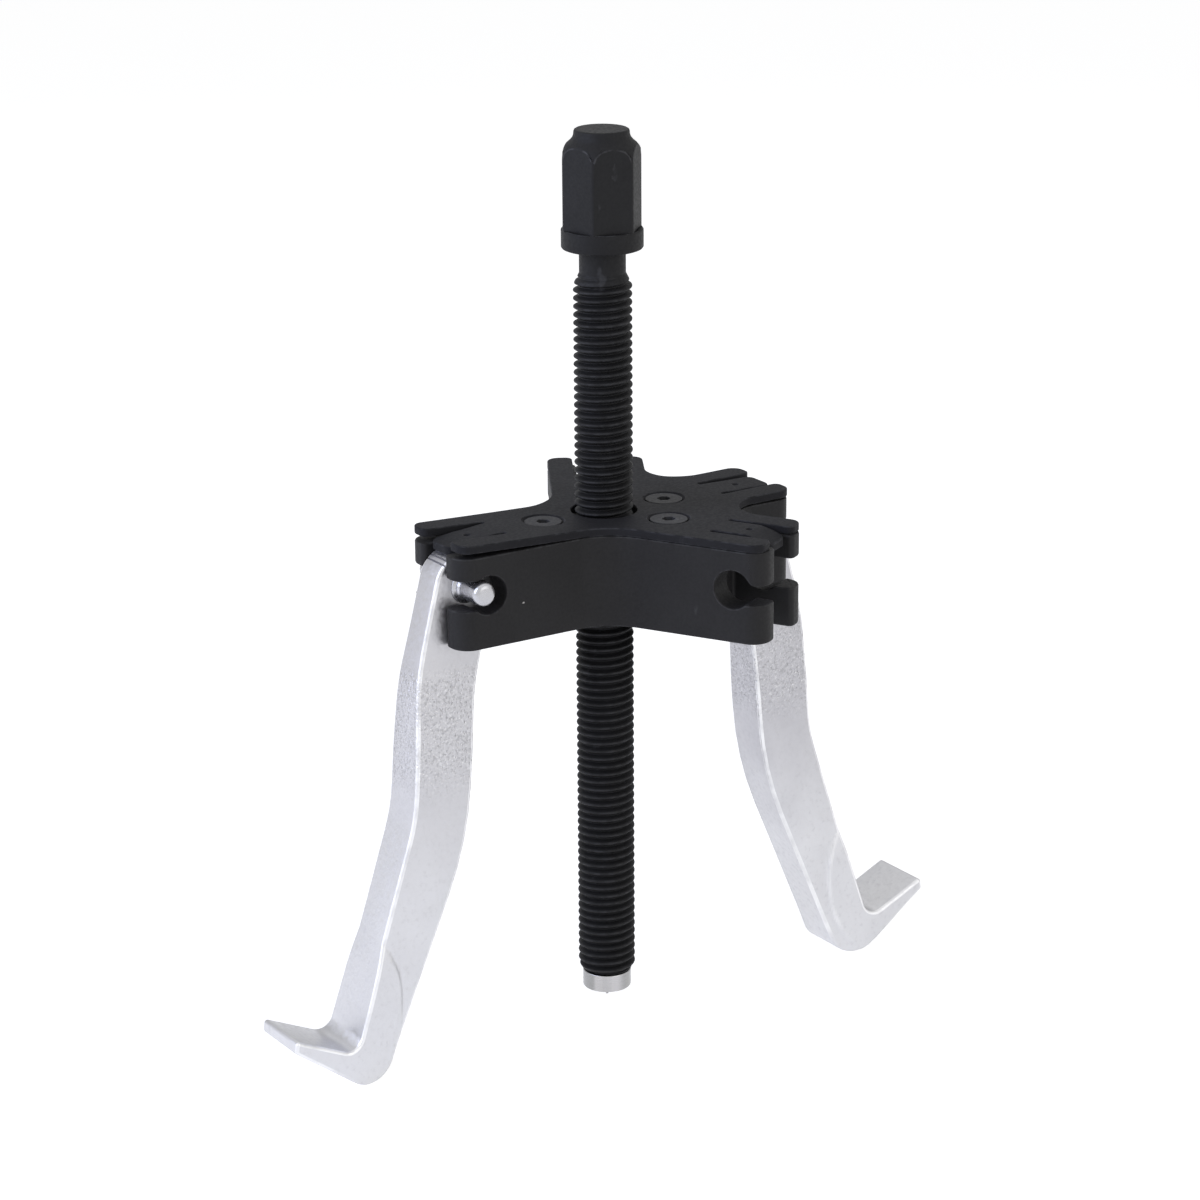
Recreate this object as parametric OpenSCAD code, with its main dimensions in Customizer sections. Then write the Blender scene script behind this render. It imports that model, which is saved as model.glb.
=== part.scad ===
// Gear puller with a four-arm yoke, a hex-headed forcing spindle and two swinging legs.
// Millimetres. The origin is the pressure point under the spindle, +Z runs up the spindle
// and +X runs along the right arm. The legs are fitted with their hooks turned outward.

/* [Yoke] */
// Height of the spring plate's top face above the pressure point
yoke_lift = 125; // [105:1:165]
// Height of the yoke block
yoke_h = 22.5; // [18:0.5:30]
// Distance from the spindle axis to an arm's end
arm_reach = 47.5; // [40:0.5:60]
// Width of an arm
arm_w = 24; // [20:0.5:30]
// Angle from the right arm to the front and back arms
side_angle = 60; // [50:1:75]
// Radius of the hollow corner beside the left arm
wide_fillet = 14; // [6:0.5:20]
// Radius of the hollow corner beside the right arm
narrow_fillet = 8.5; // [4:0.5:10]
// Radius of an arm's outer corners
arm_corner_r = 4.5; // [2:0.25:5.5]

/* [Keyholes] */
// From an arm's end in to the keyhole's centre
keyhole_inset = 7.9; // [7:0.1:10]
// From the block's top face down to the keyhole's centre
keyhole_drop = 9.5; // [8:0.1:12]
// How much wider than the pin the keyhole is
keyhole_play = 3.4; // [2:0.1:5]
// How much taller than the pin the slot is
slot_play = 1.3; // [0.8:0.1:2]
// Height of the throat under a lip
throat_h = 4.5; // [4.2:0.1:5.5]
// Radius where the keyhole runs into the slot
throat_r = 2.5; // [1.5:0.1:3]

/* [Spring plate] */
// Thickness of the plate
plate_t = 2; // [1.5:0.1:3]
// How far the plate's prongs stop short of the arm's end
plate_setback = 0.6; // [0.4:0.1:3]
// Radius of the prongs' outer corners
prong_corner_r = 3; // [1:0.25:4]
// Width of a tongue
tongue_w = 8.8; // [7:0.1:11]
// Width of the slots beside a tongue
tongue_slot_w = 1.3; // [0.8:0.1:2]
// From an arm's end in to a tongue's tip
tongue_setback = 1.6; // [1:0.1:4]
// Length of a tongue's bent tip
tongue_tip_len = 6; // [4:0.1:8]
// How far the tip of a tongue over a leg is bent down
tongue_drop_fitted = 1; // [0.6:0.1:1.2]
// How far the tip of a free tongue is bent down
tongue_drop_free = 2; // [1:0.1:2.6]
// Diameter of the punch mark on a tongue
dimple_d = 1.5; // [1:0.1:2]
// Depth of the punch mark
dimple_depth = 0.7; // [0.3:0.1:1]

/* [Plate screws] */
// Radius of the ring of screws
screw_ring_r = 17.3; // [15:0.1:22]
// Diameter of a screw's shank
screw_d = 5; // [4:0.5:6]
// Diameter of a screw's countersunk head
screw_head_d = 9.4; // [8:0.1:11]
// Length of a screw
screw_len = 12; // [8:0.5:16]
// Width across the flats of a screw's socket
screw_key = 3; // [2.5:0.5:4]
// Depth of a screw's socket
screw_key_depth = 1.8; // [1:0.1:2.5]

/* [Spindle] */
// Outside diameter of the thread
spindle_d = 14; // [12:0.5:18]
// Length of the threaded stretch
thread_len = 175; // [140:1:220]
// Chamfer at the thread's lower end
thread_chamfer = 1.4; // [0.5:0.1:2]
// Diameter of the neck above the thread
neck_d = 11.1; // [9:0.1:13]
// Length of the cone from thread to neck
neck_cone_h = 3; // [1.5:0.1:5]
// Length of the neck
neck_h = 5.8; // [3:0.1:10]
// Diameter of the flange under the hexagon
flange_d = 19; // [18.5:0.1:24]
// Thickness of the flange
flange_h = 4.8; // [3:0.1:7]
// Width across the flats of the drive hexagon
hex_af = 17; // [15:1:22]
// Height of the drive hexagon
hex_h = 18.3; // [12:0.1:25]
// Radius to which the hexagon's corners are turned down
hex_corner_r = 9.4; // [8.6:0.1:12]
// Turn of the hexagon about the spindle
hex_turn = 44.6; // [0:0.1:60]
// Diameter of the boss on top
boss_d = 13.2; // [10:0.1:16]
// Height of the cone from hexagon to boss
boss_cone_h = 2.8; // [1:0.1:4]
// Height of the boss
boss_h = 2.4; // [1:0.1:4]

/* [Pressure tip] */
// Diameter of the tip
tip_d = 11.5; // [9:0.1:13]
// Height of the tip's cylinder
tip_h = 4.2; // [3:0.1:7]
// Diameter of the centre point
point_d = 4.4; // [2:0.1:7]
// Height of the centre point
point_h = 0.6; // [0.3:0.1:2]
// Diameter of the tip's stem
stem_d = 7; // [5:0.1:8]
// Length of the stem
stem_h = 7; // [5:0.1:10]
// Diameter of the thrust ball above the stem
ball_d = 6.8; // [4:0.1:7.5]
// Wire diameter of the ring that keeps the stem in
ring_wire_d = 1; // [0.8:0.1:1.3]
// Height of the ring above the tip's shoulder
ring_h = 3.4; // [2:0.1:5]

/* [Legs] */
// Thickness of a leg's head
head_t = 7; // [6:0.1:9]
// Thickness of a leg above its foot
leg_t = 10.4; // [8:0.1:12.5]
// Length of the straight middle of a leg
shank_len = 26; // [18:1:60]
// Width of the toe
toe_w = 17; // [12.5:0.1:22]
// Diameter of a leg's pin
pin_d = 5.9; // [5:0.1:7.2]
// Diameter of the collar at a pin's foot
collar_d = 8.4; // [7.5:0.1:10]
// Height of the collar
collar_h = 0.9; // [0.3:0.1:1.1]
// How far a pin stands out of the arm's side
pin_proud = 1.4; // [0.5:0.1:3]
// Chamfer on a pin's end
pin_chamfer = 0.7; // [0.3:0.1:1]
// Depth of the notches round a leg's head
notch_depth = 0.6; // [0.3:0.1:0.9]
// Angle between neighbouring notches
notch_step = 9; // [6:0.5:12]
// Angle from the leg's axis to the last notch
notch_reach = 63; // [45:1:72]

/* [Hidden] */
$fn = 64;

// Clearances
thread_clear = 0.08;   // spindle in the yoke's bore, on the radius
fork_clear = 1.3;      // leg's head in its fork, each side
pin_clear = 0.3;       // pin under the slot's top edge
head_clear = 0.6;      // leg's head under the flat of its tongue
root_clear = 1;        // leg's head in front of the fork's root
head_step = 0.1;       // shank narrower than the head, each side
screw_clear = 0.05;    // screw in its hole, on the radius
screw_ring_gap = 0.4;  // visible ring round a screw's head
screw_sink = 0.1;      // screw's head under the plate's top face
screw_room = 1;        // free depth under a screw
stem_clear = 0.05;     // stem, ball and ring in the spindle's socket
tip_gap = 0.3;         // tip's shoulder under the spindle's end
plate_hole_gap = 1;    // spindle in the plate's hole, on the radius
through = 1;           // extra length of a cut past a face
blend_dip = 0.03;      // how far a blend's circle dips into the faces that it joins

// Arms: angle, whether a leg is fitted, and which cheek carries a lip (-1, 0 or 1)
right_arm = [0, true, 0];
back_arm = [side_angle, false, 1];
left_arm = [180, true, 0];
front_arm = [360 - side_angle, false, -1];
arms = [right_arm, back_arm, left_arm, front_arm];

// Heights
plate_top = yoke_lift;
block_top = plate_top - plate_t;
block_bottom = block_top - yoke_h;

// Keyhole and leg pin, as distances along an arm and heights
keyhole_r = arm_reach - keyhole_inset;
keyhole_z = block_top - keyhole_drop;
keyhole_d = pin_d + keyhole_play;
pin_out = 1.7;
pin_rise = 0.6;
pivot_r = keyhole_r + pin_out;
pivot_z = keyhole_z + pin_rise;
slot_top = pivot_z + pin_d / 2 + pin_clear;
slot_floor = slot_top - pin_d - slot_play;
lip_top = slot_floor + throat_h;
ease_steps = 8;

// Fork and leg head
head_r = keyhole_drop - pin_rise - head_clear;
fork_w = head_t + 2 * fork_clear;
fork_root = pivot_r - head_r - root_clear;
pin_half = arm_w / 2 + pin_proud;

// Spring plate
plate_reach = arm_reach - plate_setback;
plate_hole_d = spindle_d + 2 * plate_hole_gap;
tongue_root = fork_root - tongue_slot_w;
tongue_tip = arm_reach - tongue_setback;
tongue_bend = tongue_tip - tongue_tip_len;
dimple_r = tongue_bend - dimple_d;

// Screws
screw_top = plate_top - screw_sink;
head_cone_h = (screw_head_d - screw_d) / 2;

// Spindle, upward from its lower end
tip_shoulder = point_h + tip_h;
spindle_end = tip_shoulder + tip_gap;
thread_top = spindle_end + thread_len;
neck_bottom = thread_top + neck_cone_h;
flange_bottom = neck_bottom + neck_h;
hex_bottom = flange_bottom + flange_h;
hex_top = hex_bottom + hex_h;
boss_bottom = hex_top + boss_cone_h;
spindle_top = boss_bottom + boss_h;
hex_chamfer = 1.6;
edge_chamfer = 0.5;

// Socket for the tip's stem, closed by a drilled cone that the ball bears on
socket_r = stem_d / 2 + stem_clear;
stem_top = tip_shoulder + stem_h;
ball_z = stem_top + ball_d / 2 + stem_clear;
drill_half_angle = 59;
cone_apex = ball_z + (ball_d / 2 + stem_clear) / sin(drill_half_angle);
cone_base = cone_apex - socket_r / tan(drill_half_angle);
ring_z = tip_shoulder + ring_h;
groove_r = ring_wire_d / 2 + stem_clear;
ring_open_angle = 40;

// Leg outline from the pin's centre, as [outward, up]: the upper part hangs from the head,
// the lower part moves down with the length of the straight middle
leg_lean = 18.7;
knee = 24;
low = -knee - shank_len;
head_edge = [cos(leg_lean), sin(leg_lean)] * (head_r - head_step);
notch_side = [notch_depth, head_r + through];
outer_upper = [head_edge, [12.3, -15], [13.3, -18], [13.9, -21], [14.2, -knee - 1], [14.4, -knee - 8]];
outer_lower = [[15.0, low + 2], [15.7, low - 3], [17.0, low - 8], [31.4, low - 53.2], [32.4, low - 55.8]];
hook_throat = [[34.2, low - 58], [36.9, low - 58.7]];
toe = [[50, low - 52.7], [50.9, low - 53.4], [51.2, low - 54.4], [51, low - 55.6], [41, low - 63.6]];
heel_centre = [31.6, low - 60.9];
heel_r = 7.9;
heel_from = -58;
heel_to = -152;
heel_step = 9.4;
heel = [for (a = [heel_from : -heel_step : heel_to]) heel_centre + heel_r * [cos(a), sin(a)]];
inner_lower = [[20.2, low - 54], [9.7, low - 30.6], [3.9, low - 13.5], [2.0, low - 6], [1.2, low + 0.5]];
inner_upper = [[0, -knee - 11], [-1.6, -knee + 1.5], [-3.4, -knee + 7]];
leg_outline = concat(
    outer_upper, outer_lower, hook_throat, toe, heel, inner_lower, inner_upper, [-head_edge]);

// Taper of the leg seen from its end, thin at the head and full above the foot
taper_from = -6;
taper_to = low - 16;
leg_bottom = heel_centre[1] - heel_r - through;

// Flare from shank to toe: a round pad on each side that widens outward in plan
pad_centre = [36.6, low - 51.2];
pad_r = 17;
pad_top = pad_centre[1] + pad_r;
flare_from = pad_centre[0] - pad_r;
flare_to = pad_centre[0] + 2;
flare_end = 60;

black_block = [0.17, 0.17, 0.18];
black_plate = [0.23, 0.23, 0.25];
black_spindle = [0.11, 0.11, 0.12];
grey_screw = [0.42, 0.42, 0.44];
bright_steel = [0.80, 0.80, 0.81];
zinc = [0.78, 0.78, 0.82];

// Places its children on an arm: X along the arm, Y across it
module on_arm(arm) {
    rotate([0, 0, arm[0]]) children();
}

// Stands a flat shape up in the plane of X and Z, with its thickness along Y
module upright(thickness) {
    rotate([90, 0, 0]) linear_extrude(thickness, center = true) children();
}

// One arm in plan, with its outer corners rounded
module arm_plan(reach, corner_r) {
    translate([0, -arm_w / 2]) square([reach - corner_r, arm_w]);
    translate([0, -arm_w / 2 + corner_r]) square([reach, arm_w - 2 * corner_r]);
    for (side = [-1, 1]) translate([reach - corner_r, side * (arm_w / 2 - corner_r)]) circle(corner_r);
}

// Fills the corner between two arms and hollows it to a radius
module corner_plan(from, to, fillet) {
    half = (to - from) / 2;
    centre = (arm_w / 2 + fillet - blend_dip) / sin(half);
    along = centre * cos(half);
    meet = [along * cos(half) + arm_w / 2 * sin(half), along * sin(half) - arm_w / 2 * cos(half)];
    rotate((from + to) / 2) difference() {
        polygon([[0, 0], [meet[0], -meet[1]], [centre, 0], meet]);
        translate([centre, 0]) circle(fillet);
    }
}

// The yoke's outline in plan
module yoke_plan(reach, corner_r) {
    for (arm = arms) rotate(arm[0]) arm_plan(reach, corner_r);
    corner_plan(0, side_angle, narrow_fillet);
    corner_plan(side_angle, 180, wide_fillet);
    corner_plan(180, 360 - side_angle, wide_fillet);
    corner_plan(360 - side_angle, 360, narrow_fillet);
}

// A keyhole's slot seen square to the arm's side, from the seat's centre out past the arm's end,
// with the corner between seat and slot eased
module keyhole_slot(top) {
    rise = top - keyhole_z;
    ease_z = rise + throat_r;
    ease_x = sqrt(pow(keyhole_d / 2 + throat_r - blend_dip, 2) - pow(ease_z, 2));
    ease_from = 180 + atan2(ease_z, ease_x);
    ease = [for (i = [0 : ease_steps]) let (a = ease_from + (270 - ease_from) * i / ease_steps)
        [ease_x, ease_z] + throat_r * [cos(a), sin(a)]];
    mouth = keyhole_inset + through;
    floor_z = slot_floor - keyhole_z;
    translate([keyhole_r, keyhole_z])
        polygon(concat([[0, 0]], ease, [[mouth, rise], [mouth, floor_z], [0, floor_z]]));
}

module yoke_block() {
    cut = (arm_w - fork_w) / 2 + 2 * through;
    color(black_block) difference() {
        translate([0, 0, block_bottom]) linear_extrude(yoke_h) yoke_plan(arm_reach, arm_corner_r);
        translate([0, 0, block_bottom - through])
            cylinder(r = spindle_d / 2 + thread_clear, h = yoke_h + 2 * through);
        for (arm = arms) on_arm(arm) translate([fork_root, -fork_w / 2, block_bottom - through])
            cube([arm_reach - fork_root + through, fork_w, yoke_h + 2 * through]);
        for (arm = arms, side = [-1, 1]) on_arm(arm) translate([0, side * (arm_w + fork_w) / 4, 0])
            upright(cut) keyhole_slot(arm[2] == side ? lip_top : slot_top);
        for (arm = arms) on_arm(arm) translate([keyhole_r, 0, keyhole_z]) rotate([90, 0, 0])
            cylinder(d = keyhole_d, h = arm_w + 2 * through, center = true);
        for (arm = arms) on_arm(arm) translate([screw_ring_r, 0, 0]) screw_hole();
    }
}

// Hole for a plate screw, with the countersink that its head needs
module screw_hole() {
    hole_r = screw_d / 2 + screw_clear;
    mouth_r = screw_head_d / 2 + screw_ring_gap;
    cone_bottom = screw_top - head_cone_h - screw_ring_gap;
    cone_top = cone_bottom + mouth_r - hole_r;
    translate([0, 0, screw_top - screw_len - screw_room]) cylinder(r = hole_r, h = screw_len + screw_room);
    translate([0, 0, cone_bottom]) cylinder(r1 = hole_r, r2 = mouth_r, h = mouth_r - hole_r);
    translate([0, 0, cone_top]) cylinder(r = mouth_r, h = through);
}

// A tongue's bent tip
module tongue_tip(drop) {
    upright(tongue_w) polygon([
        [tongue_bend, plate_top], [tongue_tip, plate_top - drop],
        [tongue_tip, block_top - drop], [tongue_bend, block_top]]);
}

// The slots that free a tongue, with the room for its bent tip
module tongue_slots() {
    end = arm_reach + through;
    wide = tongue_w / 2 + tongue_slot_w;
    polygon([
        [tongue_root, -wide], [end, -wide], [end, wide], [tongue_root, wide],
        [tongue_root, tongue_w / 2], [tongue_bend, tongue_w / 2],
        [tongue_bend, -tongue_w / 2], [tongue_root, -tongue_w / 2]]);
}

module spring_plate() {
    color(black_plate) difference() {
        union() {
            translate([0, 0, block_top]) linear_extrude(plate_t) difference() {
                yoke_plan(plate_reach, prong_corner_r);
                circle(d = plate_hole_d);
                for (arm = arms) rotate(arm[0]) tongue_slots();
            }
            for (arm = arms) on_arm(arm) tongue_tip(arm[1] ? tongue_drop_fitted : tongue_drop_free);
        }
        for (arm = arms) on_arm(arm) translate([screw_ring_r, 0, 0]) screw_hole();
        for (arm = arms) on_arm(arm) translate([dimple_r, 0, plate_top - dimple_depth])
            cylinder(d = dimple_d, h = dimple_depth + through);
    }
}

// A countersunk screw with a hexagon socket
module plate_screw(arm) {
    color(grey_screw) on_arm(arm) translate([screw_ring_r, 0, 0]) difference() {
        union() {
            translate([0, 0, screw_top - screw_len]) cylinder(d = screw_d, h = screw_len - head_cone_h);
            translate([0, 0, screw_top - head_cone_h])
                cylinder(d1 = screw_d, d2 = screw_head_d, h = head_cone_h);
        }
        translate([0, 0, screw_top - screw_key_depth])
            cylinder(d = screw_key / cos(30), h = screw_key_depth + through, $fn = 6);
    }
}

// The turned outline of the drive head above the flange, which also rounds the hexagon's corners
module hex_turning() {
    rotate_extrude() polygon([
        [0, hex_bottom], [hex_corner_r, hex_bottom], [hex_corner_r, hex_top - hex_chamfer],
        [hex_corner_r - hex_chamfer, hex_top], [boss_d / 2, boss_bottom],
        [boss_d / 2, spindle_top - edge_chamfer], [boss_d / 2 - edge_chamfer, spindle_top],
        [0, spindle_top]]);
}

module spindle() {
    thread_r = spindle_d / 2;
    color(black_spindle) difference() {
        union() {
            rotate_extrude() polygon([
                [0, spindle_end], [thread_r - thread_chamfer, spindle_end],
                [thread_r, spindle_end + thread_chamfer], [thread_r, thread_top],
                [neck_d / 2, neck_bottom], [neck_d / 2, flange_bottom],
                [flange_d / 2 - edge_chamfer, flange_bottom], [flange_d / 2, flange_bottom + edge_chamfer],
                [flange_d / 2, hex_bottom - edge_chamfer], [flange_d / 2 - edge_chamfer, hex_bottom],
                [0, hex_bottom]]);
            intersection() {
                hex_turning();
                translate([0, 0, hex_bottom - through]) rotate([0, 0, hex_turn])
                    cylinder(d = hex_af / cos(30), h = spindle_top - hex_bottom + 2 * through, $fn = 6);
            }
        }
        rotate_extrude() polygon([
            [0, spindle_end - through], [socket_r, spindle_end - through],
            [socket_r, cone_base], [0, cone_apex]]);
        translate([0, 0, ring_z]) rotate_extrude() translate([stem_d / 2, 0]) circle(groove_r);
    }
}

module pressure_tip() {
    color(bright_steel) difference() {
        rotate_extrude() polygon([
            [0, 0], [point_d / 2, point_h], [tip_d / 2 - edge_chamfer, point_h],
            [tip_d / 2, point_h + edge_chamfer], [tip_d / 2, tip_shoulder],
            [stem_d / 2, tip_shoulder], [stem_d / 2, stem_top], [0, stem_top]]);
        translate([0, 0, ring_z]) rotate_extrude() translate([stem_d / 2, 0]) circle(groove_r);
    }
}

module thrust_ball() {
    color(bright_steel) translate([0, 0, ball_z]) sphere(d = ball_d);
}

// Split wire ring, half in the stem's groove and half in the socket's
module tip_ring() {
    color(grey_screw) translate([0, 0, ring_z]) rotate_extrude(angle = 360 - ring_open_angle)
        translate([stem_d / 2, 0]) circle(d = ring_wire_d);
}

// Side view of a leg, with the notches that its tongue clicks into
module leg_plan() {
    difference() {
        union() {
            circle(head_r);
            polygon(leg_outline);
        }
        for (a = [-notch_reach : notch_step : notch_reach]) rotate(leg_lean + a)
            polygon([[0, head_r - notch_depth], notch_side, [-notch_side[0], notch_side[1]]]);
    }
}

// The space that a leg fills above its foot, seen from its end
module taper_space() {
    rotate([90, 0, 90]) linear_extrude(2 * flare_end, center = true) polygon([
        [head_t / 2, head_r + through], [-head_t / 2, head_r + through], [-head_t / 2, taper_from],
        [-leg_t / 2, taper_to], [-leg_t / 2, leg_bottom], [leg_t / 2, leg_bottom],
        [leg_t / 2, taper_to], [head_t / 2, taper_from]]);
}

// The space that a flaring foot fills: round in side view, widening outward in plan
module foot_space() {
    intersection() {
        upright(toe_w) union() {
            translate(pad_centre) circle(pad_r);
            translate([pad_centre[0], leg_bottom]) square([flare_end - pad_centre[0], pad_top - leg_bottom]);
            translate([flare_from - through, leg_bottom])
                square([pad_r + 2 * through, pad_centre[1] - leg_bottom]);
        }
        translate([0, 0, leg_bottom - through]) linear_extrude(pad_top - leg_bottom + 2 * through) polygon([
            [flare_from, -leg_t / 2], [flare_to, -toe_w / 2], [flare_end, -toe_w / 2],
            [flare_end, toe_w / 2], [flare_to, toe_w / 2], [flare_from, leg_t / 2]]);
    }
}

// A leg with its two pins, hung from its arm
module leg(arm) {
    color(zinc) on_arm(arm) translate([pivot_r, 0, pivot_z]) {
        intersection() {
            upright(toe_w) leg_plan();
            taper_space();
        }
        intersection() {
            upright(toe_w) polygon(leg_outline);
            foot_space();
        }
        for (side = [0, 180]) rotate([90, 0, side]) {
            cylinder(d = collar_d, h = head_t / 2 + collar_h);
            cylinder(d = pin_d, h = pin_half - pin_chamfer);
            translate([0, 0, pin_half - pin_chamfer])
                cylinder(d1 = pin_d, d2 = pin_d - 2 * pin_chamfer, h = pin_chamfer);
        }
    }
}

yoke_block();
spring_plate();
plate_screw(right_arm);  // screw_right
plate_screw(back_arm);  // screw_back
plate_screw(left_arm);  // screw_left
plate_screw(front_arm);  // screw_front
spindle();
pressure_tip();
thrust_ball();
tip_ring();
leg(right_arm);  // right_leg
leg(left_arm);  // left_leg
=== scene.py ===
"""Looks of a two-leg gear puller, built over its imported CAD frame.

Every size is in millimetres in the part's own frame: the origin is the point
under the spindle, +Z runs up the spindle and +X out along the right arm.
Meshes are scaled to metres when a piece is finished.
"""

import logging
import math
from collections.abc import Callable, Iterable, Sequence
from dataclasses import dataclass, replace
from enum import Enum

import bmesh
import bpy
from bmesh.types import BMEdge, BMesh, BMVert
from mathutils import Matrix, Vector


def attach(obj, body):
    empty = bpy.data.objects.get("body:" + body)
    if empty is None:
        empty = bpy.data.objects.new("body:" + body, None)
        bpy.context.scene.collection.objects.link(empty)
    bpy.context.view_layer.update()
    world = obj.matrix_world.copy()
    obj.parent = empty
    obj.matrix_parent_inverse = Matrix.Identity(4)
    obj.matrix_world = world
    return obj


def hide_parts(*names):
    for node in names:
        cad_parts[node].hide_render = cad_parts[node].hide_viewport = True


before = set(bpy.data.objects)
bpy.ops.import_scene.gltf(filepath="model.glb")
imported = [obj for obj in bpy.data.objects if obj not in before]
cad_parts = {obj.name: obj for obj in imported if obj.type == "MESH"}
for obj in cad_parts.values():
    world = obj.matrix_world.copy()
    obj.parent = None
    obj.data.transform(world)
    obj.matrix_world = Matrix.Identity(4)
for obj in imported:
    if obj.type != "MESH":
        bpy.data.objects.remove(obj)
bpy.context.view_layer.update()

LOG = logging.getLogger("gear_puller")
MM = 0.001
RIM = "rim"
WELD = 1e-4  # points closer than this are one point
MERGE = 1e-3  # the same where cut or copied meshes meet
NEAR = 0.01  # slack where heights are compared
OVER = 1.0  # how far a cutter reaches past what it cuts
FLAT_TURN = 0.3  # degrees up to which neighbouring faces are one flat face
TURN = 2 * math.pi
UP = Vector((0, 0, 1))
OUT = Vector((1.0, 0.0, 0.0))
MIDDLE = (0.3, 0.7)  # where most of a noise's values lie
Point = tuple[float, float]
Triple = tuple[float, float, float]
Profile = tuple[Point, ...]
Socket = bpy.types.NodeSocket


class Plane(Enum):
    """The plane in which an outline is drawn."""

    FLAT = "xy"
    UPRIGHT = "xz"


class Outline:
    """A closed outline of straight lines and true arcs, drawn in one plane."""

    def __init__(self, bm: BMesh, turn: float = 0.0) -> None:
        """Starts an empty outline.

        Args:
            bm: The mesh that takes the outline.
            turn: Angle in degrees by which each later point is turned.
        """
        self.bm = bm
        self.turn = turn
        self.chain: list[BMVert] = []

    def spot(self, x: float, y: float) -> Vector:
        """Returns a point of the plane after the outline's turn."""
        return Matrix.Rotation(math.radians(self.turn), 3, "Z") @ Vector((x, y, 0))

    def point(self, x: float, y: float) -> None:
        """Adds one corner."""
        self.chain.append(self.bm.verts.new(self.spot(x, y)))

    def arc(self, centre: Point, radius: float, start: float, end: float, steps: int) -> None:
        """Adds an arc by spinning one vertex.

        Args:
            centre: The arc's centre.
            radius: Its radius.
            start: Angle of its first point in degrees.
            end: Angle of its last point; a smaller one turns clockwise.
            steps: Number of straight pieces.
        """
        angle = math.radians(start)
        first = self.spot(centre[0] + radius * math.cos(angle), centre[1] + radius * math.sin(angle))
        vert = self.bm.verts.new(first)
        bmesh.ops.spin(
            self.bm, geom=[vert], cent=self.spot(*centre), axis=UP,
            angle=math.radians(end - start), steps=steps,
        )
        self.bm.verts.ensure_lookup_table()
        self.chain += [vert, *self.bm.verts[-steps:]]

    def solid(self, low: float, high: float, plane: Plane = Plane.FLAT) -> BMesh:
        """Fills the outline and extrudes it to a solid.

        Args:
            low: Lower end along the plane's normal.
            high: Upper end along the plane's normal.
            plane: UPRIGHT stands the solid up, with its depth along Y.

        Returns:
            The mesh of the outline, now a closed solid.
        """
        bm = self.bm
        chain = [v for i, v in enumerate(self.chain) if (v.co - self.chain[i - 1].co).length > WELD]
        face = bm.faces.new(chain)
        bmesh.ops.delete(bm, geom=[v for v in bm.verts if not v.link_faces], context="VERTS")
        bmesh.ops.translate(bm, vec=UP * low, verts=bm.verts)
        made = bmesh.ops.extrude_face_region(bm, geom=[face], use_keep_orig=True)
        top = [v for v in made["geom"] if isinstance(v, BMVert)]
        bmesh.ops.translate(bm, vec=UP * (high - low), verts=top)
        if plane is Plane.UPRIGHT:
            bmesh.ops.rotate(bm, cent=Vector(), matrix=Matrix.Rotation(math.pi / 2, 3, "X"), verts=bm.verts)
        bmesh.ops.recalc_face_normals(bm, faces=bm.faces)
        return bm


def lathe(profile: Sequence[Point], steps: int = 64) -> BMesh:
    """Turns a profile about Z.

    Args:
        profile: Points as (radius, height), from one point of the axis to another.
        steps: Number of pieces round the turn.

    Returns:
        The turned solid.
    """
    bm = bmesh.new()
    verts = [bm.verts.new((r, 0, z)) for r, z in profile]
    edges = [bm.edges.new(pair) for pair in zip(verts, verts[1:])]
    bmesh.ops.spin(
        bm, geom=[*verts, *edges], cent=Vector(), axis=UP, angle=TURN, steps=steps, use_merge=True,
    )
    bmesh.ops.remove_doubles(bm, verts=bm.verts, dist=WELD)
    bmesh.ops.recalc_face_normals(bm, faces=bm.faces)
    return bm


def rod(radius: float, low: float, high: float) -> BMesh:
    """Returns a plain round cutter about Z."""
    return lathe([(0, low), (radius, low), (radius, high), (0, high)])


def moved(bm: BMesh, matrix: Matrix) -> BMesh:
    """Returns the same mesh after a transform."""
    bmesh.ops.transform(bm, matrix=matrix, verts=bm.verts)
    return bm


def to_mesh(bm: BMesh, name: str) -> bpy.types.Mesh:
    """Turns a working mesh into mesh data.

    Args:
        bm: The working mesh, which is freed.
        name: Name of the data.

    Returns:
        The mesh data.
    """
    mesh = bpy.data.meshes.new(name)
    bm.to_mesh(mesh)
    bm.free()
    return mesh


def put(name: str, data: bpy.types.ID) -> bpy.types.Object:
    """Puts data into the scene.

    Args:
        name: Name of the object.
        data: Its mesh, lamp or camera.

    Returns:
        The object.
    """
    obj = bpy.data.objects.new(name, data)
    bpy.context.scene.collection.objects.link(obj)
    return obj


def gather(parts: Iterable[BMesh]) -> BMesh:
    """Puts several meshes that don't touch into one.

    Args:
        parts: The meshes, which are freed.

    Returns:
        One mesh with all their shells.
    """
    whole = bmesh.new()
    for part in parts:
        mesh = to_mesh(part, "part")
        whole.from_mesh(mesh)
        bpy.data.meshes.remove(mesh)
    return whole


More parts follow.
